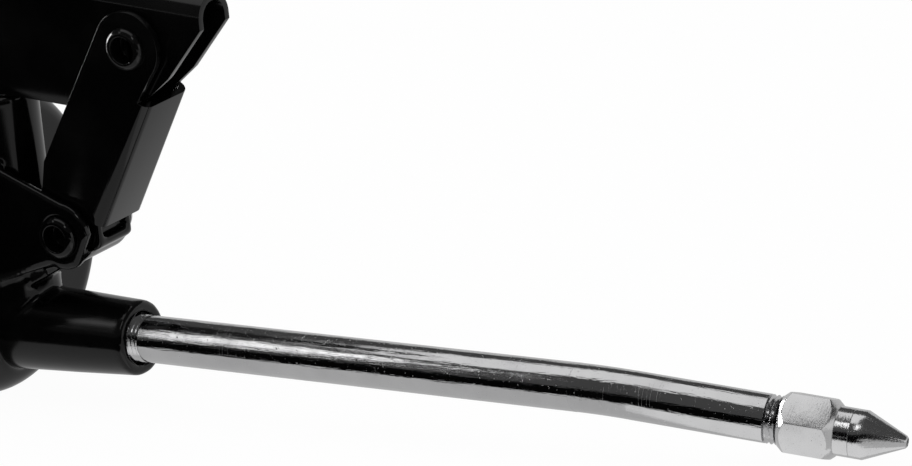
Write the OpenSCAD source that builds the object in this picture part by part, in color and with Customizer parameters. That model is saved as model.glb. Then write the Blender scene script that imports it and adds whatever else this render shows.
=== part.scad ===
// Hand-lever grease gun: cast pump head on a barrel, link and lever above it,
// bent outlet pipe with a pointed nozzle in front. X runs forward along the
// barrel, Z is up, and the origin lies on the barrel's axis, half way along it.

/* [Barrel] */
// Outside diameter of the barrel tube
barrel_d = 57; // [52:1:60]
// Wall of the barrel tube
barrel_wall = 1.2; // [0.8:0.1:2]
// Length of barrel that shows between the head and the rear cap
barrel_len = 235; // [200:5:280]
// Depth of the rolled thread below the barrel's outside
thread_step = 0.3; // [0.2:0.05:0.5]
// Thickness of the gasket that the barrel's end presses on
gasket_t = 1.5; // [1:0.25:2.5]

/* [Rear end] */
// How deep the rear cap plugs into the barrel
plug_depth = 12; // [8:1:18]
// Sheet thickness of the rear cap
rear_sheet = 1.5; // [1:0.1:2]
// Diameter of the follower rod
rod_d = 8; // [7:0.5:9]
// Thickness of the plate that locks the rod
lock_t = 2; // [1.5:0.25:3]
// Width of the rod's cross handle
handle_w = 48; // [40:1:52]
// Diameter of the cross handle's bar
handle_d = 9; // [8:0.5:11]
// Diameter of the pin that holds the handle on the rod
handle_pin_d = 3; // [2.5:0.25:3.5]

/* [Follower] */
// Grease space left ahead of the follower when the rod is pushed in
grease_gap = 14; // [12:1:30]
// Height of the follower's rubber cup
cup_h = 9; // [7:1:14]
// Thickness of the follower's steel plate
plate_t = 2; // [1.5:0.25:3]
// Turns of the follower spring
spring_turns = 20; // [14:1:22]
// Wire of the follower spring
spring_wire = 2; // [1.6:0.1:2.4]
// Outside diameter of the follower spring
spring_d = 44; // [36:1:48]

/* [Head] */
// Outside diameter of the head's round cap
cap_d = 66.8; // [64:0.2:74]
// Depth of the cap, from its front face to the end of its skirt
cap_depth = 24; // [20:1:30]
// Thickness of the cap's front wall
cap_wall = 8; // [6:0.5:10]
// Rounding of the cap's front edge
cap_round = 5; // [2:0.5:6]
// Diameter of the upright pump column
column_d = 17.4; // [17:0.2:19]
// How far the column's axis stands ahead of the cap's face
column_x = 1.65; // [1:0.05:3]
// Height of the column's top above the barrel's axis
column_top = 33.7; // [33:0.1:34.3]
// Rounding of the column's top rim
column_rim = 1.2; // [0.5:0.1:1.5]
// Fillet between the column and the cap's face
column_fillet = 3; // [1:0.5:4]

/* [Outlet] */
// Depth of the outlet's axis below the barrel's axis
outlet_drop = 19; // [17:0.5:21]
// How far the outlet boss's end face stands ahead of the cap's face
outlet_reach = 32.7; // [30:0.5:36]
// Diameter of the boss at its end face
boss_face_d = 16; // [15:0.2:17]
// Diameter of the boss half way along
boss_mid_d = 17.4; // [17:0.2:18]
// Diameter of the elbow where the boss meets the column
boss_root_d = 18.6; // [18.2:0.2:19.4]
// Diameter of the counterbore in the boss's face
mouth_d = 11.2; // [10.8:0.2:12]
// Diameter of the check ball
ball_d = 6; // [5:0.25:6.5]
// How far the check ball lifts off its seat
ball_lift = 1.5; // [1:0.25:2]

/* [Pipe and nozzle] */
// Outside diameter of the outlet pipe
pipe_d = 10; // [9.5:0.25:10.5]
// Bore of the outlet pipe
pipe_bore = 5; // [3:0.5:6]
// Depth of the pipe's thread inside the boss
pipe_engage = 10; // [7:0.5:11]
// Length of pipe from the boss to the middle of the bend
pipe_run = 115.2; // [90:1:140]
// Length of pipe from the middle of the bend to the nozzle's hexagon
pipe_tail = 37.2; // [30:0.1:60]
// Angle of the pipe's bend
bend_angle = 17; // [5:1:40]
// Turn of the bend's plane about the pipe, from straight down towards the left
bend_roll = 57; // [0:1:180]
// Radius of the bend's centre line
bend_r = 40; // [20:1:60]
// Pitch of the pipe's threads
thread_pitch = 1; // [0.75:0.25:1.25]
// Width of the nozzle's hexagon across its flats
hex_af = 12; // [12:0.5:14]
// Length of the nozzle's hexagon
hex_len = 11.6; // [10:0.1:16]
// Depth of the hexagon's end chamfers at its corners
hex_chamfer = 1.9; // [1:0.1:2.5]
// Turn of the hexagon about the pipe's axis
hex_turn = 13; // [0:1:30]
// Diameter of the nozzle's round collar
collar_d = 10; // [9:0.25:11]
// Length of collar that belongs to the hexagon
collar_len = 3.1; // [1.5:0.1:4]
// Length of collar that belongs to the cone
cone_collar = 2.5; // [2:0.1:6]
// Length of the nozzle's cone
cone_len = 8.6; // [6:0.1:12]
// Diameter of the cone's tip
tip_d = 2.6; // [2.4:0.1:3.5]
// Diameter of the grease orifice
orifice_d = 1.5; // [1:0.1:1.8]

/* [Link] */
// Lower pivot ahead of the cap's face
pivot_x = 21.7; // [21.5:0.1:23]
// Lower pivot above the barrel's axis
pivot_z = 5.55; // [5:0.1:6.5]
// Distance between the link's two pivots
link_pitch = 47; // [46:0.25:48]
// Forward lean of the link with the lever shut
link_lean = 27.4; // [27:0.2:28]
// Outside width of the link
link_w = 15.6; // [15:0.2:17]
// Sheet thickness of the link and the lever
sheet = 1.5; // [1.3:0.1:1.6]
// Outside radius of the link's bends
link_bend = 2.5; // [2:0.1:3]
// Radius of the link's upper ends
link_top_r = 7.8; // [7:0.1:8]
// Radius of the link's lower ends
link_foot_r = 5.5; // [5.2:0.1:6]
// Diameter of the two link pins
pin_d = 7.4; // [6.8:0.1:7.6]
// Diameter of the link pins' heads
pin_head_d = 9; // [8.6:0.1:9.4]
// Recess in the link pins' heads
pin_recess_d = 5.7; // [5:0.1:6]
// Thickness of every pin's head
pin_head_t = 1.7; // [1:0.1:2]
// Thickness of every retaining ring
ring_t = 0.8; // [0.6:0.1:1]

/* [Head ears] */
// Thickness of the outer ear
ear_t = 2.2; // [1.8:0.1:3]
// Radius of the ear about the lower pivot
ear_r = 7.4; // [7.2:0.1:8.4]
// Distance from the lower pivot to the ear's sloping top
ear_top = 7.1; // [6:0.1:7.2]
// Distance from the lower pivot to the ear's sloping underside
ear_under = 5.4; // [5:0.1:6]
// Distance from the lower pivot to the ear's front, which lies along the link
ear_front = 6.3; // [5.2:0.1:6.5]
// Width of the middle lug
lug_w = 11.5; // [10:0.25:12]
// How far the root between the ear and the lug lies below the ear's top
root_drop = 5.5; // [0:0.5:6]
// Radius of the lug about the lower pivot
lug_r = 6.9; // [6.2:0.1:7]
// Reach of the lug's flat front ahead of the lower pivot
lug_reach = 7.2; // [7:0.1:8]
// Distance from the lower pivot to the lug's sloping underside
lug_under = 5.8; // [5.5:0.1:6.4]
// Width of the pocket in the lug's front
pocket_w = 7.8; // [6:0.2:9]
// Depth of the pocket in the lug's front
pocket_deep = 1.9; // [1:0.1:2.5]
// Height of the wall under the pocket
pocket_floor = 1.3; // [1.2:0.1:2.5]

/* [Lever] */
// Outside width of the lever's channel
lever_w = 10.5; // [10:0.1:11]
// Height of the lever's top edge over the cap's face
lever_top = 62.9; // [61:0.1:65]
// Forward fall of the lever's top edge
lever_fall = 4.57; // [4:0.1:5]
// Rounding of the channel's top corners
lever_arch = 5; // [3.5:0.1:5]
// Gap between the shut lever and the column's top
lever_stop = 0.3; // [0.3:0.1:0.8]
// Where the underside of the lever's nose starts to rise, ahead of the cap's face
nose_x = 42.2; // [41:0.2:44]
// Length of the nose's first, steeper rise
nose_rise = 5.75; // [5:0.25:7]
// Length of the nose's gentler middle
nose_middle = 7.05; // [6:0.25:8]
// Length of the nose's last rise to its tip
nose_tip = 14.5; // [12:0.5:16]
// Where the lever's underside starts to draw up, behind the cap's face
taper_start = 40; // [30:2:60]
// Where the underside reaches the height of the bar, behind the cap's face
taper_end = 100; // [80:5:110]
// Length of lever behind the cap's face
lever_back = 240; // [220:5:260]
// Height of the lever's bar inside the grip
bar_h = 19; // [16:0.5:20]
// Length of the grip
grip_len = 130; // [110:5:140]
// Width of the grip
grip_w = 20; // [18:0.5:24]
// Wall of the grip above and below the bar
grip_wall = 3.5; // [2.5:0.25:5]

/* [Plunger] */
// Diameter of the plunger
plunger_d = 6.8; // [6.4:0.1:6.8]
// Height of the plunger pin above the barrel's axis with the lever shut
eye_z = 43; // [42.5:0.1:44]
// Diameter of the plunger pin
eye_pin_d = 5; // [4.6:0.1:5.2]
// Free play of the plunger pin along its slot, each way
eye_play_x = 2.3; // [2.2:0.1:2.6]
// Free play of the plunger pin across its slot, each way
eye_play_z = 0.85; // [0.8:0.05:1.1]
// Height of the gland nut
gland_h = 6; // [4:0.5:8]
// Diameter of the gland nut's thread
gland_d = 12; // [11:0.2:12.4]
// Height of one packing ring
packing_h = 2; // [1.5:0.25:2.5]
// Number of packing rings
packing_count = 3; // [2:1:4]

/* [Fits] */
// Radial clearance of pins, rods and threads in their holes
fit = 0.06; // [0.03:0.01:0.1]
// Side clearance between plates that move past each other
side_gap = 0.3; // [0.3:0.05:0.5]

/* [Hidden] */
$fn = 64;
eps = 0.01;

// Radii and stations that several pieces share
barrel_r = barrel_d / 2;
barrel_in_r = barrel_r - barrel_wall;
thread_r = barrel_r - thread_step;
face_x = barrel_len / 2 + cap_depth;
skirt_x = face_x - cap_depth;
chamber_x = face_x - cap_wall;
tube_front = chamber_x - gasket_t;
tube_rear = skirt_x - barrel_len;
plunger_r = plunger_d / 2;
rod_r = rod_d / 2;
pipe_r = pipe_d / 2;
boss_face_x = face_x + outlet_reach;
pipe_start = boss_face_x - pipe_engage;

// Pivots in the XZ plane, as [x, z]
lower_pivot = [face_x + pivot_x, pivot_z];
upper_pivot = lower_pivot + link_pitch * [sin(link_lean), cos(link_lean)];
eye_pivot = [face_x + column_x, eye_z];

// Half widths of the stack across the link
link_out = link_w / 2;
link_in = link_out - sheet;
lug_half = lug_w / 2;
ear_in = link_out + side_gap;
ear_out = ear_in + ear_t;

// Root of the ear and lug, and the height where the lug's front meets its underside
root_back = face_x - cap_wall / 2;
root_x = lower_pivot[0] - link_foot_r - side_gap - 1;
lug_normal = -62.3;
ear_normal = 67.9;
lug_front_z = lower_pivot[1] - (lug_under - lug_reach * cos(lug_normal)) / sin(-lug_normal);
lever_out = lever_w / 2;
lever_in = lever_out - sheet;

// A profile of radius and height, turned about the X axis
module lathe_x() rotate([0, 90, 0]) rotate_extrude() children();

// An XZ outline made into a plate of the given thickness, centred on y
module plate_y(thickness, y = 0)
    translate([0, y, 0]) rotate([90, 0, 0])
        linear_extrude(thickness, center = true) children();

// A round bar along Y between two heights of y
module bar_y(at, r, y0, y1)
    translate([at[0], y0, at[1]]) rotate([-90, 0, 0]) cylinder(h = y1 - y0, r = r);

// A round bar along X between two stations
module bar_x(x0, x1, r, z = 0)
    translate([x0, 0, z]) rotate([0, 90, 0]) cylinder(h = x1 - x0, r = r);

// A ring along X between two stations
module tube_x(x0, x1, r, r_in) difference() {
    bar_x(x0, x1, r);
    bar_x(x0 - 1, x1 + 1, r_in);
}

// A half profile of a bar of height h whose top corner is rounded
module rounded_end(r, h, round) {
    square([r, h - round]);
    square([r - round, h]);
    translate([r - round, h - round]) circle(round);
}

// ---- Head casting -------------------------------------------------------

// The place on a line that stands off from a point, turned to the line's normal
function off_line(at, normal, distance, along) =
    at + distance * [cos(normal), sin(normal)] + along * [-sin(normal), cos(normal)];

// Cup-shaped cap that screws on the barrel
module cap_shell() translate([face_x, 0, 0]) lathe_x() difference() {
    translate([0, -cap_depth]) rounded_end(cap_d / 2, cap_depth, cap_round);
    translate([-eps, -cap_depth - 1]) square([thread_r + fit + eps, cap_depth - cap_wall + 1]);
}

// Column section with fillets that run into the cap's face
module column_section() {
    column_r = column_d / 2;
    fillet_y = sqrt(pow(column_r + column_fillet, 2) - pow(column_fillet - column_x, 2));
    circle(column_r);
    for (side = [-1, 1]) difference() {
        translate([-column_x - 1, side > 0 ? 0 : -fillet_y]) square([column_fillet + 1, fillet_y]);
        translate([column_fillet - column_x, side * fillet_y]) circle(column_fillet);
    }
}

// Upright pump column with its rounded rim
module column() translate([face_x + column_x, 0, -outlet_drop]) {
    rotate_extrude() rounded_end(column_d / 2, column_top + outlet_drop, column_rim);
    linear_extrude(outlet_drop + cap_d / 2 - cap_round) column_section();
}

// Elbow and forward boss that take the outlet pipe
module outlet_boss() translate([face_x + column_x, 0, -outlet_drop]) {
    boss_len = outlet_reach - column_x;
    edge = 0.8;
    sphere(d = boss_root_d);
    lathe_x() {
        polygon([[0, 0], [boss_root_d / 2, 0], [boss_mid_d / 2, boss_len / 2],
            [boss_face_d / 2, boss_len - edge], [boss_face_d / 2 - edge, boss_len], [0, boss_len]]);
        translate([boss_face_d / 2 - edge, boss_len - edge]) circle(edge);
    }
}

// Side outline of the ear: a round end on a tapering arm
module ear_outline() intersection() {
    translate(lower_pivot) rotate(-link_lean) translate([-2 * cap_d, -cap_d])
        square([2 * cap_d + ear_front, 2 * cap_d]);
    ear_with_arm();
}

// The ear's round end and its arm, before its front is cut flat
module ear_with_arm() {
    under_normal = -71.6;
    top_arm = pivot_x / sin(ear_normal) + cap_wall;
    under_arm = pivot_x / sin(-under_normal) + cap_wall;
    translate(lower_pivot) circle(ear_r);
    intersection() {
        polygon([lower_pivot, off_line(lower_pivot, ear_normal, ear_top, 0),
            off_line(lower_pivot, ear_normal, ear_top, top_arm),
            off_line(lower_pivot, under_normal, ear_under, -under_arm),
            off_line(lower_pivot, under_normal, ear_under, 0)]);
        translate([root_back, -cap_d]) square([2 * cap_d, 2 * cap_d]);
    }
}

// Side outline of the middle lug: a hub with a block in front, sloped below
module lug_outline() {
    corner = 1.2;
    corner_at = [lower_pivot[0] + lug_reach - corner, lug_front_z + corner / tan(45 - lug_normal / 2)];
    back = pivot_x - column_x;
    translate(lower_pivot) circle(lug_r);
    translate(corner_at) circle(corner);
    polygon([lower_pivot + [lug_reach, lug_r / 2], [lower_pivot[0] + lug_reach, corner_at[1]],
        off_line(corner_at, lug_normal, corner, 0),
        off_line(lower_pivot, lug_normal, lug_under, -back),
        lower_pivot + [-back, lug_r - root_drop], lower_pivot + [0, lug_r]]);
}

// Shelf under the link's foot, between the ear and the lug
module foot_shelf() difference() {
    intersection() {
        union() {
            translate(lower_pivot) circle(lug_r);
            lug_outline();
        }
        translate([root_x, lower_pivot[1] - cap_d]) square([cap_d, cap_d - lug_r / 2]);
    }
    translate(lower_pivot) circle(link_foot_r + side_gap);
}

// Ear, lug, shelf and the solid root between them
module ears() {
    plate_y(ear_t, -ear_in - ear_t / 2) ear_outline();
    plate_y(ear_in - lug_half + 2 * eps, -(ear_in + lug_half) / 2) foot_shelf();
    difference() {
        plate_y(lug_w) lug_outline();
        translate([lower_pivot[0] + lug_reach - pocket_deep, -pocket_w / 2, lug_front_z + pocket_floor])
            cube([pocket_deep + 1, pocket_w, 2 * lug_r]);
    }
    plate_y(ear_out + lug_half, (lug_half - ear_out) / 2) intersection() {
        ear_outline();
        translate([root_back, -cap_d]) square([root_x - root_back, 2 * cap_d]);
        translate(lower_pivot) rotate(ear_normal - 90) translate([-cap_d, -cap_d])
            square([2 * cap_d, cap_d + ear_top - root_drop]);
    }
}

// Passages: pump bore, gland pocket, inlet port, ball chamber and pipe thread
module head_passages() {
    pocket_h = gland_h + packing_h * packing_count;
    inlet_r = 2.5;
    translate([face_x + column_x, 0, -outlet_drop])
        cylinder(h = column_top + outlet_drop + 1, r = plunger_r + fit);
    translate([face_x + column_x, 0, column_top - pocket_h]) cylinder(h = pocket_h + 1, r = gland_d / 2 + fit);
    bar_x(chamber_x - 1, face_x + column_x, inlet_r, -outlet_drop / 2);
    bar_x(face_x + column_x, ball_x, ball_seat_r, -outlet_drop);
    bar_x(ball_x, pipe_start, ball_d / 2 + 0.5, -outlet_drop);
    bar_x(pipe_start - eps, boss_face_x + 1, pipe_r + fit, -outlet_drop);
    bar_x(boss_face_x - 2.5 * thread_pitch, boss_face_x + 1, mouth_d / 2, -outlet_drop);
}

module head_casting() color("#1b1b1d") difference() {
    union() {
        cap_shell();
        column();
        outlet_boss();
        ears();
    }
    head_passages();
    bar_y(lower_pivot, pin_d / 2 + fit, -ear_out - 1, lug_half + 1);
}

// ---- Barrel and rear end -------------------------------------------------

module barrel_tube() color("#222224") difference() {
    union() {
        bar_x(tube_rear, skirt_x, barrel_r);
        bar_x(skirt_x - eps, tube_front, thread_r);
    }
    bar_x(tube_rear - 1, tube_front + 1, barrel_in_r);
}

module barrel_gasket() color("#3a3a3a")
    tube_x(tube_front, chamber_x, thread_r - fit, barrel_in_r - 2);

// Pressed cup that closes the barrel, with a neck that guides the rod
module rear_cap() color("#222224") {
    neck_r = rod_r + 4;
    difference() {
        union() {
            bar_x(tube_rear - rear_sheet, tube_rear, barrel_r - 0.5);
            bar_x(tube_rear - eps, tube_rear + plug_depth, barrel_in_r - fit);
        }
        difference() {
            bar_x(tube_rear, tube_rear + plug_depth + 1, barrel_in_r - fit - rear_sheet);
            bar_x(tube_rear - 1, tube_rear + plug_depth - 2, neck_r);
        }
        bar_x(tube_rear - rear_sheet - 1, tube_rear + plug_depth + 1, rod_r + fit);
    }
}

lock_r = 13;
lock_x = tube_rear - rear_sheet - lock_t;

// Flat plate with two rivet heads that grips the rod
module rod_lock_plate() color("#8f9296") {
    difference() {
        bar_x(lock_x, lock_x + lock_t, lock_r);
        bar_x(lock_x - 1, lock_x + lock_t + 1, rod_r + fit);
    }
    for (side = [-1, 1]) translate([lock_x - 1, side * (lock_r - 4), 0])
        rotate([0, 90, 0]) cylinder(h = 1 + eps, r = 2);
}

handle_x = lock_x - 3 - handle_d;
rod_front = chamber_x - grease_gap + 4;

module follower_rod() color("#b9bcc0") difference() {
    bar_x(handle_x - 1, rod_front, rod_r);
    translate([handle_x + handle_d / 2, 0, 0]) cylinder(h = rod_d + 2, r = handle_pin_d / 2 + fit, center = true);
}

// Cross handle: a round bar with domed ends on a short hub
module rod_handle() color("#8f9296") difference() {
    hub_r = rod_r + 3.5;
    end = handle_d / 2;
    union() {
        bar_x(handle_x, handle_x + handle_d, hub_r);
        bar_y([handle_x + end, 0], end, end - handle_w / 2, handle_w / 2 - end);
        for (side = [-1, 1]) translate([handle_x + end, side * (handle_w / 2 - end), 0]) sphere(end);
    }
    bar_x(handle_x - 2, handle_x + handle_d + 1, rod_r + fit);
    translate([handle_x + end, 0, 0]) cylinder(h = 2 * hub_r + 2, r = handle_pin_d / 2 + fit, center = true);
}

module rod_handle_pin() color("#b9bcc0")
    translate([handle_x + handle_d / 2, 0, 0]) cylinder(h = 2 * rod_r + 7, r = handle_pin_d / 2, center = true);

// ---- Follower ------------------------------------------------------------

cup_front = chamber_x - grease_gap;
plate_x = cup_front - cup_h - plate_t;

// Rubber cup whose thin lip wipes the barrel
module follower_cup() color("#303030") difference() {
    floor_t = 3;
    lip_t = 2.5;
    bar_x(cup_front - cup_h, cup_front, barrel_in_r - fit);
    bar_x(cup_front - cup_h + floor_t, cup_front + 1, barrel_in_r - fit - lip_t);
    bar_x(cup_front - cup_h - 1, cup_front + 1, rod_r + fit);
}

module follower_plate() color("#8f9296")
    tube_x(plate_x, plate_x + plate_t, barrel_in_r - 1, rod_r + fit);

// Nut that clamps the cup and plate on the rod's end
module follower_nut() color("#b9bcc0") difference() {
    nut_af = 13;
    nut_h = 5;
    translate([cup_front - cup_h + 3, 0, 0]) rotate([0, 90, 0])
        cylinder(h = nut_h, r = nut_af / 2 / cos(30), $fn = 6);
    bar_x(cup_front - cup_h, cup_front + 1, rod_r + fit);
}

spring_r = (spring_d - spring_wire) / 2;
spring_x0 = tube_rear + plug_depth + side_gap + spring_wire / 2;
spring_x1 = plate_x - side_gap - spring_wire / 2;

// Points round a coil of even pitch along X
function coil(x0, x1, r, turns, rings) = [for (i = [0 : turns * rings])
    let (a = 360 * i / rings) [x0 + (x1 - x0) * i / (turns * rings), r * cos(a), r * sin(a)]];

// Six-sided rings square to the coil at each of its points
function coil_rings(path, wire_r, r) = [for (p = path)
    let (out = [0, p[1], p[2]] / r)
    for (s = [0 : 5]) p + wire_r * (cos(60 * s) * out + [sin(60 * s), 0, 0])];

// One unbroken wire wound as a coil
module wound_wire(x0, x1, r, wire_r, turns) {
    rings = 8;
    path = coil(x0, x1, r, turns, rings);
    last = len(path) - 1;
    faces = concat([[5, 4, 3, 2, 1, 0]], [[for (s = [0 : 5]) last * 6 + s]],
        [for (i = [0 : last - 1]) for (s = [0 : 5]) let (n = (s + 1) % 6)
            [i * 6 + s, i * 6 + n, (i + 1) * 6 + n]],
        [for (i = [0 : last - 1]) for (s = [0 : 5]) let (n = (s + 1) % 6)
            [i * 6 + s, (i + 1) * 6 + n, (i + 1) * 6 + s]]);
    echo(least_gap = min([for (i = [0 : last - rings]) norm(path[i + rings] - path[i])]) - 2 * wire_r);
    polyhedron(coil_rings(path, wire_r, r), faces, convexity = 10);
}

module follower_spring() color("#a8abae")
    wound_wire(spring_x0, spring_x1, spring_r, spring_wire / 2, spring_turns);

// ---- Check valve ---------------------------------------------------------

ball_seat_r = ball_d / 2 - 0.8;
ball_x = face_x + outlet_reach / 2 - 3;
ball_at = ball_x + sqrt(pow(ball_d / 2, 2) - pow(ball_seat_r, 2)) + 0.05;
check_wire = 0.7;

module check_ball() color("#c4c6c9") translate([ball_at, 0, -outlet_drop]) sphere(d = ball_d);

module check_spring() color("#a8abae") translate([0, 0, -outlet_drop])
    wound_wire(ball_at + ball_d / 2 * 0.75, pipe_start - check_wire / 2 - 0.1,
        ball_d / 2 - 0.1, check_wire / 2, 3);

// ---- Gland and plunger ---------------------------------------------------

module gland_nut() color("#8f9296") translate([face_x + column_x, 0, column_top - gland_h]) difference() {
    cylinder(h = gland_h, r = gland_d / 2);
    translate([0, 0, -1]) cylinder(h = gland_h + 2, r = plunger_r + fit);
    for (side = [-1, 1]) translate([0, side * (gland_d / 4 + plunger_r / 2), gland_h - 2])
        cylinder(h = 3, r = 0.7);
}

module plunger_packing() color("#4a3b2a")
    for (i = [1 : packing_count])
        translate([face_x + column_x, 0, column_top - gland_h - i * packing_h]) difference() {
            cylinder(h = packing_h, r = gland_d / 2);
            translate([0, 0, -1]) cylinder(h = packing_h + 2, r = plunger_r + fit);
        }

// Plunger with a flat eye whose slot lets the pin swing
module plunger() color("#c4c6c9") {
    eye_wall = 1.8;
    slot_h = eye_pin_d + 2 * eye_play_z;
    slot_w = eye_pin_d + 2 * eye_play_x;
    foot_z = 4 - outlet_drop;
    difference() {
        union() {
            translate([eye_pivot[0], 0, foot_z]) cylinder(h = eye_z - slot_h / 2 - foot_z, r = plunger_r);
            plate_y(plunger_d) translate(eye_pivot) for (side = [-1, 1])
                translate([side * (slot_w - slot_h) / 2, 0]) circle(slot_h / 2 + eye_wall);
            plate_y(plunger_d) translate(eye_pivot)
                square([slot_w - slot_h, slot_h + 2 * eye_wall], center = true);
        }
        for (side = [-1, 1]) bar_y(eye_pivot + [side * (slot_w - slot_h) / 2, 0], slot_h / 2, -9, 9);
        plate_y(18) translate(eye_pivot) square([slot_w - slot_h, slot_h], center = true);
    }
}

// ---- Pins and rings ------------------------------------------------------

// A headed pin along Y from its near seat to its far one, with a hollow in its
// head and a tail that carries a ring
module headed_pin(at, r, head_r, recess_r, near, far) difference() {
    recess_deep = 2;
    union() {
        bar_y(at, r, -near, far + ring_t + 1);
        bar_y(at, head_r, -near - pin_head_t, -near);
    }
    bar_y(at, recess_r, -near - pin_head_t - 1, recess_deep - near);
}

// A ring pressed on a pin's tail
module pin_ring(at, r, far) difference() {
    bar_y(at, r + 1.3, far, far + ring_t);
    bar_y(at, r + eps, far - 1, far + ring_t + 1);
}

module lower_link_pin() color("#1b1b1d")
    headed_pin(lower_pivot, pin_d / 2, pin_head_d / 2, pin_recess_d / 2, ear_out, link_out + side_gap);

module lower_pin_ring() color("#8f9296") pin_ring(lower_pivot, pin_d / 2, link_out + side_gap);

module upper_link_pin() color("#1b1b1d")
    headed_pin(upper_pivot, pin_d / 2, pin_head_d / 2, pin_recess_d / 2, link_out, link_out);

module upper_pin_ring() color("#8f9296") pin_ring(upper_pivot, pin_d / 2, link_out);

module plunger_pin() color("#8f9296")
    headed_pin(eye_pivot, eye_pin_d / 2, eye_pin_d / 2 + 1.2, eye_pin_d / 2 - 1.2, lever_out, lever_out);

module plunger_pin_ring() color("#8f9296") pin_ring(eye_pivot, eye_pin_d / 2, lever_out);

// ---- Link ----------------------------------------------------------------

web_low = 5.8;
web_high = 37.2;
edge_low = 5;
edge_tilt = 2.55;

// The link's side, drawn with its lower pivot at the origin and its upper above
module link_side() {
    edge_high = edge_low + (web_high - web_low) * tan(edge_tilt);
    knee = [-10.2, 12.06];
    heel = [-8.56, 6.09];
    translate([0, link_pitch]) circle(link_top_r);
    circle(link_foot_r);
    polygon([[-link_top_r, link_pitch], knee, heel, [-link_foot_r, 0], [0, 0],
        [edge_low, web_low], [edge_high, web_high], [link_top_r, link_pitch]]);
}

// Web and both bends, as a section that runs up the link's front, a hair
// narrower than the sides so that no two faces fall together
module web_section() {
    half = link_out - 2 * eps;
    flat = half - link_bend;
    inner_bend = link_bend - sheet;
    difference() {
        union() {
            translate([-1, -half]) square([1, 2 * half]);
            translate([-eps, -flat]) square([link_bend + eps, 2 * flat]);
            for (side = [-1, 1]) translate([0, side * flat]) circle(link_bend);
        }
        translate([-link_bend - 1, sheet - half]) square([link_bend + 1, 2 * (half - sheet)]);
        translate([-link_bend, -flat]) square([link_bend + inner_bend, 2 * flat]);
        for (side = [-1, 1]) translate([0, side * flat]) circle(inner_bend);
    }
}

module link() color("#1b1b1d") difference() {
    translate([lower_pivot[0], 0, lower_pivot[1]]) rotate([0, link_lean, 0]) {
        for (side = [-1, 1]) plate_y(sheet, side * (link_out - sheet / 2)) link_side();
        translate([edge_low, 0, web_low]) rotate([0, edge_tilt, 0])
            linear_extrude((web_high - web_low) / cos(edge_tilt)) web_section();
    }
    bar_y(lower_pivot, pin_d / 2 + fit, -link_w, link_w);
    bar_y(upper_pivot, pin_d / 2 + fit, -link_w, link_w);
}

// ---- Lever ---------------------------------------------------------------

// A place in the lever's own slope, measured back and down from its top edge
function on_lever(x, z) = [face_x + x * cos(lever_fall) + z * sin(lever_fall),
    lever_top - x * sin(lever_fall) + z * cos(lever_fall)];

// Side outline: a nose cut away over the link, then a long tapering bar
module lever_outline() {
    under_fall = 4.135;
    column_front = column_x + column_d / 2 - column_rim;
    under_z = column_top + lever_stop + column_front * tan(under_fall);
    nose_1 = [face_x + nose_x, under_z - nose_x * tan(under_fall)];
    nose_2 = nose_1 + nose_rise * [cos(51.3), sin(51.3)];
    nose_3 = nose_2 + nose_middle * [cos(38.7), sin(38.7)];
    nose_4 = nose_3 + nose_tip * [cos(48.5), sin(48.5)];
    polygon([[face_x - taper_start, under_z + taper_start * tan(under_fall)],
        nose_1, nose_2, nose_3, nose_4, [nose_4[0], lever_top + bar_h], on_lever(-lever_back, bar_h),
        on_lever(-lever_back, -bar_h), on_lever(-taper_end, -bar_h)]);
}

// Arched section of the channel, with its top at the origin, grown by some amount
module channel_solid(half, arch, deep) {
    translate([-half, -deep]) square([2 * half, deep - arch]);
    translate([arch - half, -deep]) square([2 * (half - arch), deep]);
    for (side = [-1, 1]) translate([side * (half - arch), -arch]) circle(arch);
}

// Lays a section out along the lever's slope
module along_lever(x0, x1) translate([face_x, 0, lever_top]) rotate([0, lever_fall, 0])
    translate([x0, 0, 0]) rotate([90, 0, 90]) linear_extrude(x1 - x0) children();

module lever() color("#1b1b1d") difference() {
    intersection() {
        plate_y(lever_w + 2) lever_outline();
        along_lever(-lever_back, 2 * nose_x) difference() {
            channel_solid(lever_out, lever_arch, lever_top);
            translate([0, -sheet]) channel_solid(lever_in, lever_arch - sheet, lever_top);
        }
    }
    bar_y(upper_pivot, pin_d / 2 + fit, -link_w, link_w);
    bar_y(eye_pivot, eye_pin_d / 2 + fit, -link_w, link_w);
}

// Rubber sleeve pushed over the lever's bar, closed at its end
module lever_grip() color("#262628") {
    grip_h = bar_h + 2 * grip_wall;
    corner = 8;
    along_lever(-lever_back - grip_wall, grip_len - lever_back) difference() {
        translate([0, grip_wall]) channel_rounded(grip_w / 2, corner, grip_h);
        translate([0, fit]) channel_solid(lever_out + fit, lever_arch, bar_h + 2 * fit);
    }
    along_lever(-lever_back - grip_wall, -lever_back)
        translate([0, grip_wall]) channel_rounded(grip_w / 2, corner, grip_h);
}

// Section with four round corners, its top at the origin
module channel_rounded(half, corner, deep) {
    translate([-half, corner - deep]) square([2 * half, deep - 2 * corner]);
    translate([corner - half, -deep]) square([2 * (half - corner), deep]);
    for (side = [-1, 1], z = [-corner, corner - deep])
        translate([side * (half - corner), z]) circle(corner);
}

module lever_spacers() color("#8f9296")
    for (side = [-1, 1]) difference() {
        washer_t = link_in - lever_out - 0.2;
        middle = side * (link_in + lever_out) / 2;
        bar_y(upper_pivot, 6.2, middle - washer_t / 2, middle + washer_t / 2);
        bar_y(upper_pivot, pin_d / 2 + fit, -link_w, link_w);
    }

// ---- Pipe and nozzle -----------------------------------------------------

// The bend's length from its middle to either tangent point
bend_lead = bend_r * tan(bend_angle / 2);

// Moves what is drawn along +Z, from the middle of the bend, onto the pipe's tail
module on_tail() translate([boss_face_x + pipe_run, 0, -outlet_drop])
    rotate([bend_roll, 0, 0]) rotate([0, 90 + bend_angle, 0]) children();

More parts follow.
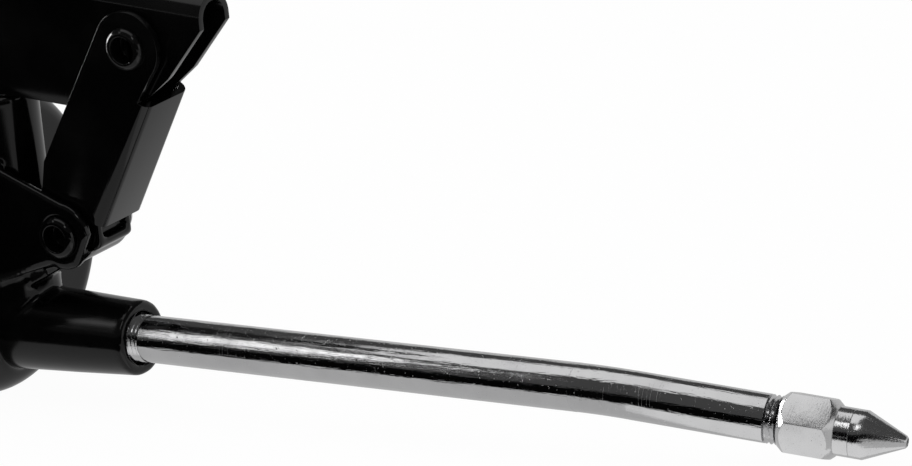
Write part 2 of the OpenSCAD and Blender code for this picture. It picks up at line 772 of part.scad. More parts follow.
// Pipe's centre line swept with a round section; the bend's skin lies a hair
// inside the straight lengths and runs on into them
module swept_pipe(r, x0, tail) {
    inset = 0.03;
    overrun = 1;
    bar_x(x0, boss_face_x + pipe_run - bend_lead, r, -outlet_drop);
    translate([boss_face_x + pipe_run - bend_lead, 0, -outlet_drop]) rotate([bend_roll, 0, 0])
        translate([0, 0, -bend_r]) rotate([90, 0, 0]) rotate([0, 0, 90 - bend_angle - overrun])
            rotate_extrude(angle = bend_angle + 2 * overrun) translate([bend_r, 0]) circle(r - inset);
    on_tail() translate([0, 0, bend_lead]) cylinder(h = tail - bend_lead, r = r);
}

// Ridged half profile of a thread
module thread_profile(r, length, pitch) {
    depth = 0.55 * pitch;
    turns = floor(length / pitch);
    polygon(concat([[0, 0]], [for (i = [0 : turns - 1]) each
        [[r - depth, i * pitch], [r, (i + 0.5) * pitch]]],
        [[r - depth, turns * pitch], [0, turns * pitch]]));
}

socket_depth = 8;

module outlet_pipe() color("#c9ccd0") difference() {
    thread_out = 2;
    tail_thread = socket_depth + 3;
    tail_end = pipe_tail + socket_depth;
    union() {
        swept_pipe(pipe_r, boss_face_x + thread_out - eps, tail_end - tail_thread + eps);
        translate([pipe_start, 0, -outlet_drop])
            lathe_x() thread_profile(pipe_r, pipe_engage + thread_out, thread_pitch);
        on_tail() translate([0, 0, tail_end - tail_thread])
            rotate_extrude() thread_profile(pipe_r, tail_thread, thread_pitch);
    }
    swept_pipe(pipe_bore / 2, pipe_start - 1, tail_end + 1);
}

stub_r = 3.5;
stub_len = 6;
body_len = hex_len + collar_len;

// Hexagon with chamfered ends and a short round collar
module nozzle_body() color("#c9ccd0") on_tail() translate([0, 0, pipe_tail]) difference() {
    corner_r = hex_af / 2 / cos(30);
    end_r = collar_d / 2 + 0.3;
    union() {
        intersection() {
            rotate([0, 0, hex_turn]) cylinder(h = hex_len, r = corner_r, $fn = 6);
            rotate_extrude() polygon([[0, 0], [end_r, 0], [corner_r, hex_chamfer],
                [corner_r, hex_len - hex_chamfer], [end_r, hex_len], [0, hex_len]]);
        }
        cylinder(h = body_len, r = collar_d / 2);
    }
    translate([0, 0, -1]) cylinder(h = socket_depth + 1 + fit, r = pipe_r + fit);
    translate([0, 0, -1]) cylinder(h = body_len, r = orifice_d / 2 + 0.5);
    translate([0, 0, body_len - stub_len]) cylinder(h = stub_len + 1, r = stub_r + fit);
}

// Cone with a threaded stub, a round collar and a fine bore
module nozzle_cone() color("#c9ccd0") on_tail() translate([0, 0, pipe_tail + body_len]) difference() {
    tip_r = tip_d / 2;
    union() {
        translate([0, 0, 0.3 - stub_len]) cylinder(h = stub_len, r = stub_r);
        rotate_extrude() polygon([[0, 0], [collar_d / 2, 0], [collar_d / 2, cone_collar],
            [tip_r, cone_collar + cone_len - 0.3], [tip_r - 0.3, cone_collar + cone_len],
            [0, cone_collar + cone_len]]);
    }
    translate([0, 0, -stub_len]) cylinder(h = stub_len + cone_collar + cone_len + 1, r = orifice_d / 2);
}

head_casting();
barrel_tube();
barrel_gasket();
rear_cap();
rod_lock_plate();
gland_nut();
plunger_packing();
check_ball();
check_spring();
outlet_pipe();
nozzle_body();
nozzle_cone();
lower_link_pin();
lower_pin_ring();
link();
upper_link_pin();
upper_pin_ring();
lever();
lever_grip();
lever_spacers();
plunger_pin();
plunger_pin_ring();
plunger();
follower_rod();
rod_handle();
rod_handle_pin();
follower_plate();
follower_cup();
follower_nut();
follower_spring();
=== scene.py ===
import math
import bpy
from mathutils import Matrix, Vector


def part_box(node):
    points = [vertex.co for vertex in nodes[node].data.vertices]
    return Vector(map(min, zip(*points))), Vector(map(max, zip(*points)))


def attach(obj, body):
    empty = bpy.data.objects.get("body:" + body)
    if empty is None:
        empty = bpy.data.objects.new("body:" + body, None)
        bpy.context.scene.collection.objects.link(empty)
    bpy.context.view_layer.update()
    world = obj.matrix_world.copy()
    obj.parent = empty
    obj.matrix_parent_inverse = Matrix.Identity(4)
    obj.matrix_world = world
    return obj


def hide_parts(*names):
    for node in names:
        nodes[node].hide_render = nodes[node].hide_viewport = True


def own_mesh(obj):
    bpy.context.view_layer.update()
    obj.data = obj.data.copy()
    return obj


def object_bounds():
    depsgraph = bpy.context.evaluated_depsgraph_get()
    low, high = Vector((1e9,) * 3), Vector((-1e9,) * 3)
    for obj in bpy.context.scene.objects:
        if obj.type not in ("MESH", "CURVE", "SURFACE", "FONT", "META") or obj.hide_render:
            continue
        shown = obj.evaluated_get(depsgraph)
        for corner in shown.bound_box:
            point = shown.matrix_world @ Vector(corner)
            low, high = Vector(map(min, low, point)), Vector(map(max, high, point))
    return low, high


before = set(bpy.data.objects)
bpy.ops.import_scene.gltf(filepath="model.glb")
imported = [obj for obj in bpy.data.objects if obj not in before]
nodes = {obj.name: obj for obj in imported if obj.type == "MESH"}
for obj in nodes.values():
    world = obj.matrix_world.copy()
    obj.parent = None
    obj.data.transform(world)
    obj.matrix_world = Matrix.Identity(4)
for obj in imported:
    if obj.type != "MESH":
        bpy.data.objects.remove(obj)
cad_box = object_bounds()


# ---- Table, lamps and camera ----------------------------------------------
# The gun lies on a pale table top in a white studio, under two soft boxes. Its
# gloss paint and bright plating also mirror a set of cards that nothing else
# sees: a pale floor and wall, dark felt, and narrow bright strips.

table_gap = 0.0002
table_z = cad_box[0].z - table_gap
floor_z = table_z - 0.1
hang_z = 0.6
above, below = (0, 0, 1), (0, 0, -1)


def fresh_material(name):
    """An empty node material and its tree."""
    made = bpy.data.materials.new(name)
    made.use_nodes = True
    made.node_tree.nodes.clear()
    return made, made.node_tree


def node_in(tree, kind, sockets=None, **modes):
    """A new node whose sockets take plain values or other nodes' outputs."""
    made = tree.nodes.new("ShaderNode" + kind)
    for label, value in modes.items():
        setattr(made, label, value)
    for label, value in (sockets or {}).items():
        if isinstance(value, bpy.types.NodeSocket):
            tree.links.new(value, made.inputs[label])
        else:
            made.inputs[label].default_value = value
    return made


# The top glows for the camera alone; for all other light it is matt and pale grey
table_side = 8
table_grey = (0.82, 0.82, 0.82, 1)
glow_level, glow_share = 1.02, 0.95
bpy.ops.mesh.primitive_plane_add(size=table_side, location=(0, 0, table_z))
table_top = bpy.context.object
table_top.name = "table_top"
table_paint, tree = fresh_material("pale_table")
matt = node_in(tree, "BsdfDiffuse", {"Color": table_grey})
shine = node_in(tree, "Emission", {"Strength": glow_level})
path = node_in(tree, "LightPath")
seen = node_in(tree, "Math", {0: path.outputs["Is Camera Ray"], 1: glow_share},
               operation="MULTIPLY")
mix = node_in(tree, "MixShader", {"Fac": seen.outputs[0], 1: matt.outputs[0],
                                  2: shine.outputs[0]})
node_in(tree, "OutputMaterial", {"Surface": mix.outputs[0]})
table_top.data.materials.append(table_paint)
table_top.visible_glossy = False


def mirror_only(board, level):
    """Makes a board glow evenly, and only for mirrors."""
    face, tree = fresh_material(board.name + "_face")
    glow = node_in(tree, "Emission", {"Strength": level})
    node_in(tree, "OutputMaterial", {"Surface": glow.outputs[0]})
    board.data.materials.append(face)
    board.visible_camera = False
    board.visible_diffuse = False
    board.visible_shadow = False


def card(name, place, size, level, facing):
    """A flat card of even brightness that only mirrors can see."""
    turn = Vector(facing).to_track_quat("Z", "Y")
    bpy.ops.mesh.primitive_plane_add(size=1, location=place, rotation=turn.to_euler())
    board = bpy.context.object
    board.name = name
    board.scale = (size[0], size[1], 1)
    mirror_only(board, level)


# Dark felt lies before the gun and hangs overhead, behind the camera and at the right
felt_level, felt_overhead_level = 0.002, 0.07
felt_left_x, felt_right_x = -2.2, 0.6
felt_near_y, felt_far_y = -0.27, -0.95
felt_mid_x, felt_mid_y = (felt_left_x + felt_right_x) / 2, (felt_near_y + felt_far_y) / 2
felt_w, felt_deep = felt_right_x - felt_left_x, felt_near_y - felt_far_y
card_lift = 0.0005
card("floor_in_mirrors", (0, 0, floor_z), (8, 8), level=0.56, facing=above)
card("felt_on_floor", (felt_mid_x, felt_mid_y, floor_z + card_lift), (felt_w, felt_deep),
     level=felt_level, facing=above)
card("felt_behind_camera", (felt_mid_x, felt_far_y, 0.04), (felt_w, 0.36),
     level=felt_level, facing=(0, 1, 0))
card("felt_overhead", (0, -0.675, hang_z), (4, 3.85), level=felt_overhead_level, facing=below)
card("wall_behind", (-0.5, 1.6, 0.35), (4, 0.9), level=0.6, facing=(0, -1, 0))
card("felt_right", (1.0, -0.85, 0.1), (1.2, 0.5), level=felt_level, facing=(-0.75, 0.66, 0))
card("floor_by_nozzle", (0.33, -0.09, floor_z + 2 * card_lift), (0.14, 0.26),
     level=0.9, facing=above)

# Bright strips stand far left and hang over the right; a bent one hangs overhead
strip_z = hang_z - 0.01
card("strip_left", (-0.6, 0.12, table_z + 0.17), (0.8, 0.33), level=13, facing=(1, 0, 0))
card("strip_over_right", (0.52, -0.5, strip_z), (0.16, 0.4), level=2, facing=above)
lamp_level = 1.75
lamp_outline = (
    (-0.292, -0.27), (-0.385, -0.5), (-0.48, -0.667), (-0.8, -1.25), (-0.74, -1.25),
    (-0.55, -0.89), (-0.385, -0.667), (-0.27, -0.52), (-0.275, -0.27))
lamp_mesh = bpy.data.meshes.new("strip_over")
lamp_mesh.from_pydata([(x, y, strip_z) for x, y in lamp_outline], [],
                      [range(len(lamp_outline))])
long_lamp = bpy.data.objects.new("strip_over", lamp_mesh)
bpy.context.scene.collection.objects.link(long_lamp)
mirror_only(long_lamp, lamp_level)


def soft_box(name, place, size, watts, mirrored):
    """A rectangular lamp that hangs face down, out of the camera's sight."""
    bpy.ops.object.light_add(type="AREA", location=place)
    lamp = bpy.context.object
    lamp.name = name
    lamp.data.shape = "RECTANGLE"
    lamp.data.size, lamp.data.size_y = size
    lamp.data.energy = watts
    lamp.visible_camera = False
    lamp.visible_glossy = mirrored


box_z = hang_z - 0.02
soft_box("soft_box_left", (-0.715, -0.586, box_z), (0.6, 0.81), watts=2.6, mirrored=False)
soft_box("soft_box_over", (0.12, 0.04, box_z), (0.62, 0.58), watts=0.98, mirrored=True)

# The air is white where the camera or a mirror sees it, and sheds less light than that
white_level, fill_level = 1.0, 0.45
world = bpy.data.worlds.new("studio_air")
bpy.context.scene.world = world
world.use_nodes = True
tree = world.node_tree
tree.nodes.clear()
white = node_in(tree, "Background", {"Strength": white_level})
fill = node_in(tree, "Background", {"Strength": fill_level})
path = node_in(tree, "LightPath")
seen = node_in(tree, "Math", {0: path.outputs["Is Camera Ray"],
                              1: path.outputs["Is Glossy Ray"]}, operation="MAXIMUM")
mix = node_in(tree, "MixShader", {"Fac": seen.outputs[0], 1: fill.outputs[0],
                                  2: white.outputs[0]})
node_in(tree, "OutputWorld", {"Surface": mix.outputs[0]})
bpy.context.scene.view_settings.view_transform = "Standard"

# A long lens looks down on the outlet boss, whose face falls at a known place
frame_w, frame_h = 912, 466
outlet_z = -0.019
boss_face_at = Vector((0.1742, 0, outlet_z))
boss_face_px = (143.6, 338)
px_per_m = 4770
focal_px = 6840
sensor_mm = 36
turn_about, look_down, roll = math.radians(35.5), math.radians(17), math.radians(-6.1)
back = Vector((math.sin(turn_about) * math.cos(look_down),
               -math.cos(turn_about) * math.cos(look_down), math.sin(look_down)))
level = Vector((math.cos(turn_about), math.sin(turn_about), 0))
upright = back.cross(level)
right = level * math.cos(roll) + upright * math.sin(roll)
up = upright * math.cos(roll) - level * math.sin(roll)
off_x = (boss_face_px[0] - frame_w / 2) / focal_px
off_y = (frame_h / 2 - boss_face_px[1]) / focal_px
bpy.ops.object.camera_add()
camera = bpy.context.object
camera.name = "camera"
camera.data.sensor_width = sensor_mm
camera.data.lens = focal_px * sensor_mm / frame_w
camera.rotation_mode = "QUATERNION"
camera.rotation_quaternion = Matrix((right, up, back)).transposed().to_quaternion()
camera.location = boss_face_at - focal_px / px_per_m * (off_x * right + off_y * up - back)
camera.data.clip_start, camera.data.clip_end = 0.05, 20
bpy.context.scene.camera = camera


# ---- Head casting ---------------------------------------------------------
# One iron casting: screw cap, pump column, outlet boss, and the ear and lug of
# the lower pivot. Its edges are soft from the mould, under thick gloss enamel.

def shared_effect(name, inputs, outputs):
    """A shader node group with named sockets in and named sockets out."""
    group = bpy.data.node_groups.new(name, "ShaderNodeTree")
    for label, value in inputs.items():
        kind = "NodeSocketFloat" if isinstance(value, float) else "NodeSocketVector"
        socket = group.interface.new_socket(name=label, in_out="INPUT", socket_type=kind)
        socket.default_value = value
    for label, kind in outputs.items():
        group.interface.new_socket(name=label, in_out="OUTPUT", socket_type=kind)
    given = group.nodes.new("NodeGroupInput").outputs
    return group, given, group.nodes.new("NodeGroupOutput").inputs


enamel_skin, given, put_out = shared_effect(
    "enamel_skin",
    {"Wave Scale": 200.0, "Wave Height": 0.000002, "Low": 0.08, "High": 0.16},
    {"Roughness": "NodeSocketFloat", "Normal": "NodeSocketVector", "Haze": "NodeSocketFloat"})
where = node_in(enamel_skin, "TexCoord").outputs["Object"]
wave = node_in(enamel_skin, "TexNoise", {"Vector": where, "Scale": given["Wave Scale"],
                                         "Detail": 1.0})
lift = node_in(enamel_skin, "Bump", {"Height": wave.outputs["Fac"],
                                     "Distance": given["Wave Height"]})
enamel_skin.links.new(lift.outputs["Normal"], put_out["Normal"])
haze = node_in(enamel_skin, "TexNoise", {"Vector": where, "Scale": 60.0, "Detail": 5.0})
span = node_in(enamel_skin, "MapRange", {
    "Value": haze.outputs["Fac"], "From Min": 0.35, "From Max": 0.65,
    "To Min": given["Low"], "To Max": given["High"]})
enamel_skin.links.new(span.outputs["Result"], put_out["Roughness"])
patchy = node_in(enamel_skin, "MapRange", {"Value": haze.outputs["Fac"], "From Min": 0.45,
                                           "From Max": 0.75})
enamel_skin.links.new(patchy.outputs["Result"], put_out["Haze"])


def skin_in(tree, group, values):
    """A use of a shared skin in a material, with its own values."""
    skin = tree.nodes.new("ShaderNodeGroup")
    skin.node_tree = group
    for label, value in values.items():
        skin.inputs[label.replace("_", " ").title()].default_value = value
    return skin


def blend_of(tree, share, first, second):
    """A colour between two others, by a share from zero to one."""
    tint = node_in(tree, "Mix", data_type="RGBA")
    tint.inputs["A"].default_value = (*first, 1)
    tint.inputs["B"].default_value = (*second, 1)
    tree.links.new(share, tint.inputs["Factor"])
    return tint.outputs["Result"]


def gloss_enamel(name, paint, hazed, gloss, **skin_values):
    """Baked gloss paint, slightly wavy, with patches of haze."""
    made, tree = fresh_material(name)
    skin = skin_in(tree, enamel_skin, skin_values)
    shader = node_in(tree, "BsdfPrincipled", {
        "Base Color": blend_of(tree, skin.outputs["Haze"], paint, hazed),
        "Roughness": skin.outputs["Roughness"], "Normal": skin.outputs["Normal"],
        "Specular IOR Level": gloss})
    node_in(tree, "OutputMaterial", {"Surface": shader.outputs[0]})
    return made


flat_within = math.radians(0.5)


def loose_copy(node, name, flatten=True, merge=0.000002):
    """A merged copy of a CAD node, selected and active, with its flat faces whole."""
    bpy.ops.object.select_all(action="DESELECT")
    piece = bpy.data.objects.new(name, nodes[node].data.copy())
    bpy.context.scene.collection.objects.link(piece)
    piece.data.materials.clear()
    bpy.context.view_layer.objects.active = piece
    piece.select_set(True)
    bpy.ops.mesh.customdata_custom_splitnormals_clear()
    bpy.ops.object.mode_set(mode="EDIT")
    bpy.ops.mesh.select_all(action="SELECT")
    bpy.ops.mesh.remove_doubles(threshold=merge)
    if flatten:
        bpy.ops.mesh.dissolve_limited(angle_limit=flat_within)
    bpy.ops.object.mode_set(mode="OBJECT")
    return piece


def finish_piece(piece, body, slot_name, material, *replaced):
    """Gives a piece its finish and its body, in place of CAD nodes."""
    piece.data.materials.append(material)
    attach(piece, body)
    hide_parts(*replaced)


deep_black, hazed_black = (0.0015, 0.0015, 0.0016), (0.004, 0.004, 0.004)
head_black = gloss_enamel("head_gloss_black", deep_black, hazed_black, gloss=0.34,
                          wave_scale=180, wave_height=0.0000015, low=0.08, high=0.15)
skin_voxel = 0.00052
soften_factor, soften_rounds = 0.5, 9
casting = loose_copy("head_casting", "head_casting_cast", flatten=False)
remesh = casting.modifiers.new("one_skin", "REMESH")
remesh.mode = "VOXEL"
remesh.voxel_size = skin_voxel
bpy.ops.object.modifier_apply(modifier="one_skin")
soften = casting.modifiers.new("mould_softness", "SMOOTH")
soften.factor = soften_factor
soften.iterations = soften_rounds
bpy.ops.object.modifier_apply(modifier="mould_softness")
bpy.ops.object.shade_smooth()
finish_piece(casting, "head", "head_paint", head_black, "head_casting")


# ---- Barrel and rear cap --------------------------------------------------
# A drawn steel tube closed behind by a pressed cup, both in gloss enamel. The
# cup's rim is rounded by the press.

barrel_black = gloss_enamel("barrel_gloss_black", (0.0025, 0.0025, 0.0026),
                            (0.006, 0.006, 0.006), gloss=0.35,
                            wave_scale=90, wave_height=0.000003, low=0.10, high=0.18)


def dress(node, material):
    """Gives a CAD node its finish, leaving its mesh alone."""
    for place in nodes[node].material_slots:
        place.material = material


def soft_edges(piece, width, steps=3, limit=30):
    """Rounds the edges sharper than a limit in degrees, and smooths the rest."""
    edge = piece.modifiers.new("broken_edge", "BEVEL")
    edge.width = width
    edge.segments = steps
    edge.limit_method = "ANGLE"
    edge.angle_limit = math.radians(limit)
    bpy.ops.object.modifier_apply(modifier="broken_edge")
    bpy.ops.object.shade_smooth_by_angle(angle=math.radians(limit))


dress("barrel_tube", barrel_black)
press_round = 0.0004
cup = loose_copy("rear_cap", "rear_cap_pressed")
soft_edges(cup, press_round)
finish_piece(cup, "head", "barrel_paint", barrel_black, "rear_cap")


# ---- Gasket and follower cup ----------------------------------------------
# Moulded black rubber: a flat ring that the barrel's end presses on, and the
# lipped cup that pushes the grease.

def ramp_of(tree, share, dark, pale):
    """A colour ramp from a dark colour to a pale one."""
    ramp = node_in(tree, "ValToRGB", {"Fac": share})
    ramp.color_ramp.elements[0].color = (*dark, 1)
    ramp.color_ramp.elements[1].color = (*pale, 1)
    return ramp.outputs["Color"]


rubber, tree = fresh_material("seal_rubber")
where = node_in(tree, "TexCoord").outputs["Object"]
grain = node_in(tree, "TexNoise", {"Vector": where, "Scale": 1500.0, "Detail": 4.0})
lift = node_in(tree, "Bump", {"Height": grain.outputs["Fac"], "Distance": 0.00003})
worn = node_in(tree, "TexNoise", {"Vector": where, "Scale": 70.0, "Detail": 5.0})
chalk = ramp_of(tree, worn.outputs["Fac"], (0.009, 0.009, 0.009), (0.022, 0.022, 0.022))
span = node_in(tree, "MapRange", {"Value": worn.outputs["Fac"], "To Min": 0.5,
                                  "To Max": 0.75})
shader = node_in(tree, "BsdfPrincipled", {
    "Base Color": chalk, "Roughness": span.outputs["Result"],
    "Normal": lift.outputs["Normal"]})
node_in(tree, "OutputMaterial", {"Surface": shader.outputs[0]})
dress("barrel_gasket", rubber)
dress("follower_cup", rubber)


# ---- Outlet pipe ----------------------------------------------------------
# Drawn steel tube in bright plating, threaded at both ends. Drawing and
# handling leave lengthwise lines, small pits and a few cross scratches.

plated_skin, given, put_out = shared_effect(
    "plated_skin",
    {"Place": (0, 0, 0), "Direction": (1, 0, 0), "Line Height": 0.00002,
     "Pit Height": 0.00002, "Low": 0.05, "High": 0.16, "Along": 30.0, "Across": 900.0,
     "Fine": 1400.0},
    {"Roughness": "NodeSocketFloat", "Normal": "NodeSocketVector", "Worn": "NodeSocketFloat"})

# The place is stretched along the metal's direction, for its drawn lines
along = node_in(plated_skin, "VectorMath", {0: given["Place"], 1: given["Direction"]},
                operation="DOT_PRODUCT")
down_it = node_in(plated_skin, "VectorMath", {
    0: given["Direction"], "Scale": along.outputs["Value"]}, operation="SCALE")
across_it = node_in(plated_skin, "VectorMath", {0: given["Place"], 1: down_it.outputs[0]},
                    operation="SUBTRACT")
drawn_out = node_in(plated_skin, "VectorMath", {
    0: down_it.outputs[0], "Scale": given["Along"]}, operation="SCALE")
drawn_in = node_in(plated_skin, "VectorMath", {
    0: across_it.outputs[0], "Scale": given["Across"]}, operation="SCALE")
drawn = node_in(plated_skin, "VectorMath", {0: drawn_out.outputs[0], 1: drawn_in.outputs[0]},
                operation="ADD")
lines = node_in(plated_skin, "TexNoise", {"Vector": drawn.outputs[0], "Scale": 1.0,
                                          "Detail": 3.0})

# Pits all over, and slanted hairline scratches where the metal is worn
patch = node_in(plated_skin, "TexNoise", {"Vector": given["Place"], "Scale": 130.0,
                                          "Detail": 5.0})
pits = node_in(plated_skin, "TexNoise", {"Vector": given["Place"], "Scale": given["Fine"],
                                         "Detail": 2.0})
pitted = node_in(plated_skin, "MapRange", {"Value": pits.outputs["Fac"], "From Min": 0.68,
                                           "From Max": 0.74})
slanted = node_in(plated_skin, "Mapping", {
    "Vector": given["Place"], "Rotation": (0.4, 0.9, 0.6), "Scale": (900, 14, 22)})
strokes = node_in(plated_skin, "TexNoise", {"Vector": slanted.outputs[0], "Scale": 1.0,
                                            "Detail": 0.0})
from_mid = node_in(plated_skin, "Math", {0: strokes.outputs["Fac"], 1: 0.5},
                   operation="SUBTRACT")
off_mid = node_in(plated_skin, "Math", {0: from_mid.outputs[0]}, operation="ABSOLUTE")
hairline = node_in(plated_skin, "MapRange", {"Value": off_mid.outputs[0], "From Max": 0.005,
                                             "To Min": 1.0, "To Max": 0.0})
worn_here = node_in(plated_skin, "MapRange", {"Value": patch.outputs["Fac"],
                                              "From Min": 0.6, "From Max": 0.64})
scratch = node_in(plated_skin, "Math", {0: hairline.outputs["Result"],
                                        1: worn_here.outputs["Result"]},
                  operation="MULTIPLY")
marks = node_in(plated_skin, "Math", {0: pitted.outputs["Result"], 1: scratch.outputs[0]},
                operation="MAXIMUM")

# Lines stand up, marks are cut in, and both change how sharply it mirrors
line_lift = node_in(plated_skin, "Bump", {"Height": lines.outputs["Fac"],
                                          "Distance": given["Line Height"]})
mark_lift = node_in(plated_skin, "Bump", {
    "Height": marks.outputs[0], "Distance": given["Pit Height"],
    "Normal": line_lift.outputs["Normal"]}, invert=True)
plated_skin.links.new(mark_lift.outputs["Normal"], put_out["Normal"])
span = node_in(plated_skin, "MapRange", {
    "Value": patch.outputs["Fac"], "From Min": 0.35, "From Max": 0.7,
    "To Min": given["Low"], "To Max": given["High"]})
mark_roughness = 0.3
rougher = node_in(plated_skin, "Math", {0: marks.outputs[0], 1: mark_roughness,
                                        2: span.outputs["Result"]},
                  operation="MULTIPLY_ADD")
plated_skin.links.new(rougher.outputs[0], put_out["Roughness"])
plated_skin.links.new(patch.outputs["Fac"], put_out["Worn"])

bend_middle = Vector((0.2894, 0, outlet_z))
bend_half = 0.006
tail_direction = Vector((0.956305, 0.245204, -0.159237))


def bright_plate(name, clean, dull, **skin_values):
    """Plated steel, its place counted from the bend; the direction is the caller's."""
    made, tree = fresh_material(name)
    skin = skin_in(tree, plated_skin, skin_values)
    shader = node_in(tree, "BsdfPrincipled", {
        "Base Color": blend_of(tree, skin.outputs["Worn"], clean, dull), "Metallic": 1.0,
        "Roughness": skin.outputs["Roughness"], "Normal": skin.outputs["Normal"]})
    node_in(tree, "OutputMaterial", {"Surface": shader.outputs[0]})
    where = node_in(tree, "TexCoord").outputs["Object"]
    from_bend = node_in(tree, "VectorMath", {0: where, 1: bend_middle}, operation="SUBTRACT")
    tree.links.new(from_bend.outputs[0], skin.inputs["Place"])
    return made, tree, skin, from_bend.outputs[0]


pipe_plate, tree, skin, from_bend = bright_plate(
    "pipe_bright_plate", (0.68, 0.68, 0.685), (0.52, 0.52, 0.525), line_height=0.00005,
    pit_height=0.000014, low=0.05, high=0.14, along=160, across=1900, fine=2000)
split = node_in(tree, "SeparateXYZ", {0: from_bend})
past = node_in(tree, "MapRange", {"Value": split.outputs["X"], "From Min": -bend_half,
                                  "From Max": bend_half})
aim = node_in(tree, "Mix", data_type="VECTOR")
aim.inputs["A"].default_value = (1, 0, 0)
aim.inputs["B"].default_value = tail_direction
tree.links.new(past.outputs["Result"], aim.inputs["Factor"])
tree.links.new(aim.outputs["Result"], skin.inputs["Direction"])

pipe_smooth = math.radians(25)
pipe = loose_copy("outlet_pipe", "outlet_pipe_drawn", flatten=False)
bpy.ops.object.shade_smooth_by_angle(angle=pipe_smooth)
finish_piece(pipe, "head", "bright_plate", pipe_plate, "outlet_pipe")


# ---- Nozzle ---------------------------------------------------------------
# Hexagon and cone turned from bright-plated bar and screwed together. The tool
# leaves fine rings round them.

nozzle_plate, _, skin, _ = bright_plate(
    "nozzle_bright_plate", (0.72, 0.72, 0.725), (0.56, 0.56, 0.565), line_height=0.00003,
    pit_height=0.00001, low=0.12, high=0.24, along=2600, across=1300, fine=3000)
skin.inputs["Direction"].default_value = tail_direction
for node, edge_w in (("nozzle_body", 0.0006), ("nozzle_cone", 0.0002)):
    turned = loose_copy(node, node + "_turned")
    soft_edges(turned, edge_w)
    finish_piece(turned, "head", "bright_plate", nozzle_plate, node)


# ---- Link and lever -------------------------------------------------------
# Both are pressed from 1.5 mm sheet: the link folded into a channel, the lever
# drawn into an arch. The enamel is thick enough to round the cut edges.

sheet_black = gloss_enamel("sheet_gloss_black", deep_black, hazed_black, gloss=0.34,
                           wave_scale=110, wave_height=0.000002, low=0.07, high=0.14)
sheet_merge, sheet_round = 0.00003, 0.0007
for node in ("link", "lever"):
    pressed = loose_copy(node, node + "_pressed", merge=sheet_merge)
    soft_edges(pressed, sheet_round, steps=5)
    finish_piece(pressed, node, "sheet_paint", sheet_black, node)


# ---- Link pins ------------------------------------------------------------
# Hollow steel pins enamelled with the gun. Their near ends are rolled over
# into a rounded head round the bore.

head_roll, roll_steps = 0.0013, 7
face_slack, rim_slack = 0.0001, 0.0002
pin_round = 0.00018
for node, body in (("lower_link_pin", "head"), ("upper_link_pin", "link")):
    low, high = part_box(node)
    middle = (low + high) / 2
    head_r = (high.z - low.z) / 2
    rolled = loose_copy(node, node + "_rolled")
    bpy.ops.object.mode_set(mode="EDIT")
    bpy.ops.mesh.select_mode(type="EDGE")
    bpy.ops.mesh.select_all(action="DESELECT")
    bpy.ops.object.mode_set(mode="OBJECT")
    on_rim = [p.co.y < low.y + face_slack
              and math.hypot(p.co.x - middle.x, p.co.z - middle.z) > head_r - rim_slack
              for p in rolled.data.vertices]
    for edge in rolled.data.edges:
        edge.select = on_rim[edge.vertices[0]] and on_rim[edge.vertices[1]]
    bpy.ops.object.mode_set(mode="EDIT")
    bpy.ops.mesh.bevel(offset=head_roll, segments=roll_steps, affect="EDGES")
    bpy.ops.object.mode_set(mode="OBJECT")
    soft_edges(rolled, pin_round, limit=50)
    finish_piece(rolled, body, "pin_black", sheet_black, node)


# ---- Rings, spacers, plunger and rear fittings ------------------------------
# Bare turned and stamped steel with a satin grain, its sharp edges taken off.

satin_steel, tree = fresh_material("satin_steel")
where = node_in(tree, "TexCoord").outputs["Object"]
grain = node_in(tree, "TexNoise", {"Vector": where, "Scale": 900.0, "Detail": 4.0})
stain = node_in(tree, "TexNoise", {"Vector": where, "Scale": 110.0, "Detail": 5.0})
both = node_in(tree, "Math", {0: grain.outputs["Fac"], 1: stain.outputs["Fac"]},
               operation="MULTIPLY")
span = node_in(tree, "MapRange", {"Value": both.outputs[0], "From Min": 0.1,
                                  "From Max": 0.4, "To Min": 0.2, "To Max": 0.45})
shade = ramp_of(tree, stain.outputs["Fac"], (0.42, 0.42, 0.43), (0.58, 0.58, 0.59))
lift = node_in(tree, "Bump", {"Height": grain.outputs["Fac"], "Distance": 0.000005})
shader = node_in(tree, "BsdfPrincipled", {
    "Base Color": shade, "Metallic": 1.0, "Roughness": span.outputs["Result"],
    "Normal": lift.outputs["Normal"]})
node_in(tree, "OutputMaterial", {"Surface": shader.outputs[0]})

for node in ("lower_pin_ring", "upper_pin_ring", "plunger_pin_ring", "lever_spacers",
             "check_ball", "follower_rod", "follower_plate", "follower_nut"):
    dress(node, satin_steel)
for node, body, edge_w in (
        ("gland_nut", "head", 0.0004), ("plunger", "plunger", 0.0005),
        ("plunger_pin", "lever", 0.0003), ("rod_lock_plate", "head", 0.0003),
        ("rod_handle", "rod", 0.0006), ("rod_handle_pin", "rod", 0.0003)):
    eased = loose_copy(node, node + "_eased")
    soft_edges(eased, edge_w)
    finish_piece(eased, body, "steel", satin_steel, node)


# ---- Springs --------------------------------------------------------------
# Round spring wire wound at an even pitch: the follower spring in the barrel
# and the small one behind the check ball.

wire_sides, steps_a_turn = 12, 20
wind_merge = 0.000001
wire_smooth = math.radians(40)


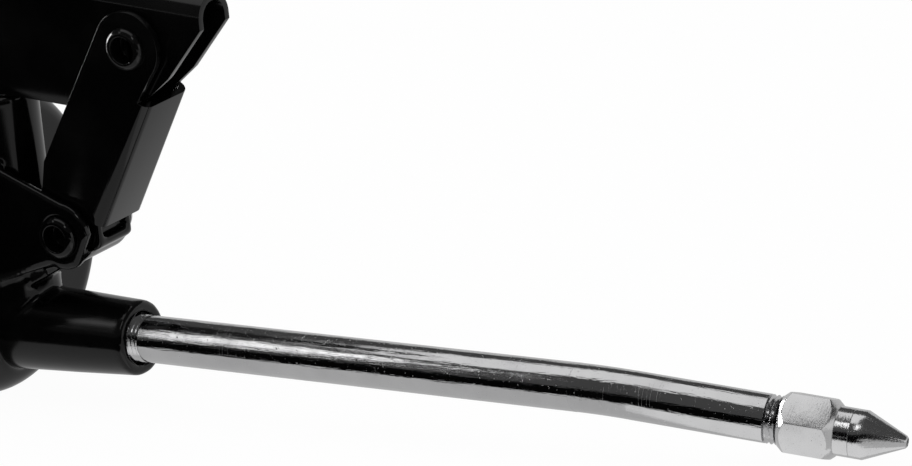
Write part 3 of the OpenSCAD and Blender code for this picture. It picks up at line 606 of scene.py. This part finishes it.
def wound_spring(node, body, wire_r, turns, axis_z):
    """A spring wound in the place of a CAD node."""
    low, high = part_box(node)
    length = high.x - low.x - 2 * wire_r
    bpy.ops.mesh.primitive_circle_add(vertices=wire_sides, radius=wire_r,
                                      location=(0, 0, axis_z))
    wire = bpy.context.object
    wire.name = node + "_wound"
    bpy.ops.object.mode_set(mode="EDIT")
    bpy.ops.mesh.select_all(action="SELECT")
    bpy.ops.transform.translate(value=(low.x + wire_r, high.y - wire_r, 0))
    bpy.ops.object.mode_set(mode="OBJECT")
    wind = wire.modifiers.new("winding", "SCREW")
    wind.axis = "X"
    wind.angle = math.tau
    wind.screw_offset = length / turns
    wind.iterations = turns
    wind.steps = wind.render_steps = steps_a_turn
    wind.use_merge_vertices = True
    wind.merge_threshold = wind_merge
    bpy.ops.object.modifier_apply(modifier="winding")
    bpy.ops.object.mode_set(mode="EDIT")
    bpy.ops.mesh.select_all(action="SELECT")
    bpy.ops.mesh.fill_holes(sides=0)
    bpy.ops.mesh.select_all(action="SELECT")
    bpy.ops.mesh.normals_make_consistent(inside=False)
    bpy.ops.object.mode_set(mode="OBJECT")
    bpy.ops.object.transform_apply(location=True, rotation=True, scale=True)
    bpy.ops.object.shade_smooth_by_angle(angle=wire_smooth)
    finish_piece(wire, body, "steel", satin_steel, node)
    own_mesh(wire)


wound_spring("follower_spring", "head", wire_r=0.001, turns=20, axis_z=0)
wound_spring("check_spring", "head", wire_r=0.00035, turns=3, axis_z=outlet_z)


# ---- Packing --------------------------------------------------------------
# Three rings of oiled leather that the gland nut squeezes round the plunger.

leather, tree = fresh_material("oiled_leather")
where = node_in(tree, "TexCoord").outputs["Object"]
pores = node_in(tree, "TexVoronoi", {"Vector": where, "Scale": 1800.0})
oil = node_in(tree, "TexNoise", {"Vector": where, "Scale": 300.0, "Detail": 4.0})
shade = ramp_of(tree, oil.outputs["Fac"], (0.08, 0.05, 0.03), (0.18, 0.115, 0.065))
lift = node_in(tree, "Bump", {"Height": pores.outputs["Distance"], "Distance": 0.00004})
shader = node_in(tree, "BsdfPrincipled", {"Base Color": shade, "Roughness": 0.5,
                                          "Normal": lift.outputs["Normal"]})
node_in(tree, "OutputMaterial", {"Surface": shader.outputs[0]})
dress("plunger_packing", leather)


# ---- Grip -----------------------------------------------------------------
# A moulded rubber sleeve pushed over the lever's bar, with grooves across it
# for the fingers' hold and a plain closed end.

lever_root = Vector((0.1415, 0, 0.0629))
lever_fall = math.radians(4.57)
down_lever = Vector((math.cos(lever_fall), 0, -math.sin(lever_fall)))
off_lever = Vector((math.sin(lever_fall), 0, math.cos(lever_fall)))
groove_first, groove_last, groove_count = -0.228, -0.122, 18
groove_w, groove_deep = 0.0024, 0.0009
bar_half, bar_deep, bar_slack = 0.0056, 0.0196, 0.001
grip_round, groove_round = 0.0015, 0.0003
grip = loose_copy("lever_grip", "lever_grip_moulded")
soft_edges(grip, grip_round, steps=4)
groove_at = [groove_first + (groove_last - groove_first) * i / (groove_count - 1)
             for i in range(groove_count)]
bpy.ops.object.mode_set(mode="EDIT")
for station in groove_at:
    for side in (-0.5, 0.5):
        bpy.ops.mesh.select_all(action="SELECT")
        bpy.ops.mesh.bisect(
            plane_co=lever_root + (station + side * groove_w) * down_lever,
            plane_no=down_lever)
bpy.ops.mesh.select_mode(type="FACE")
bpy.ops.mesh.select_all(action="DESELECT")
bpy.ops.object.mode_set(mode="OBJECT")
for face in grip.data.polygons:
    place = face.center - lever_root
    along, height = place.dot(down_lever), place.dot(off_lever)
    outside = abs(place.y) > bar_half or height > bar_slack or height < -bar_deep - bar_slack
    face.select = outside and any(abs(along - at) < groove_w / 2 for at in groove_at)
bpy.ops.object.mode_set(mode="EDIT")
bpy.ops.mesh.extrude_region_shrink_fatten(
    TRANSFORM_OT_shrink_fatten={"value": -groove_deep})
bpy.ops.object.mode_set(mode="OBJECT")
soft_edges(grip, groove_round, steps=2, limit=50)
finish_piece(grip, "lever", "rubber_grip", rubber, "lever_grip")
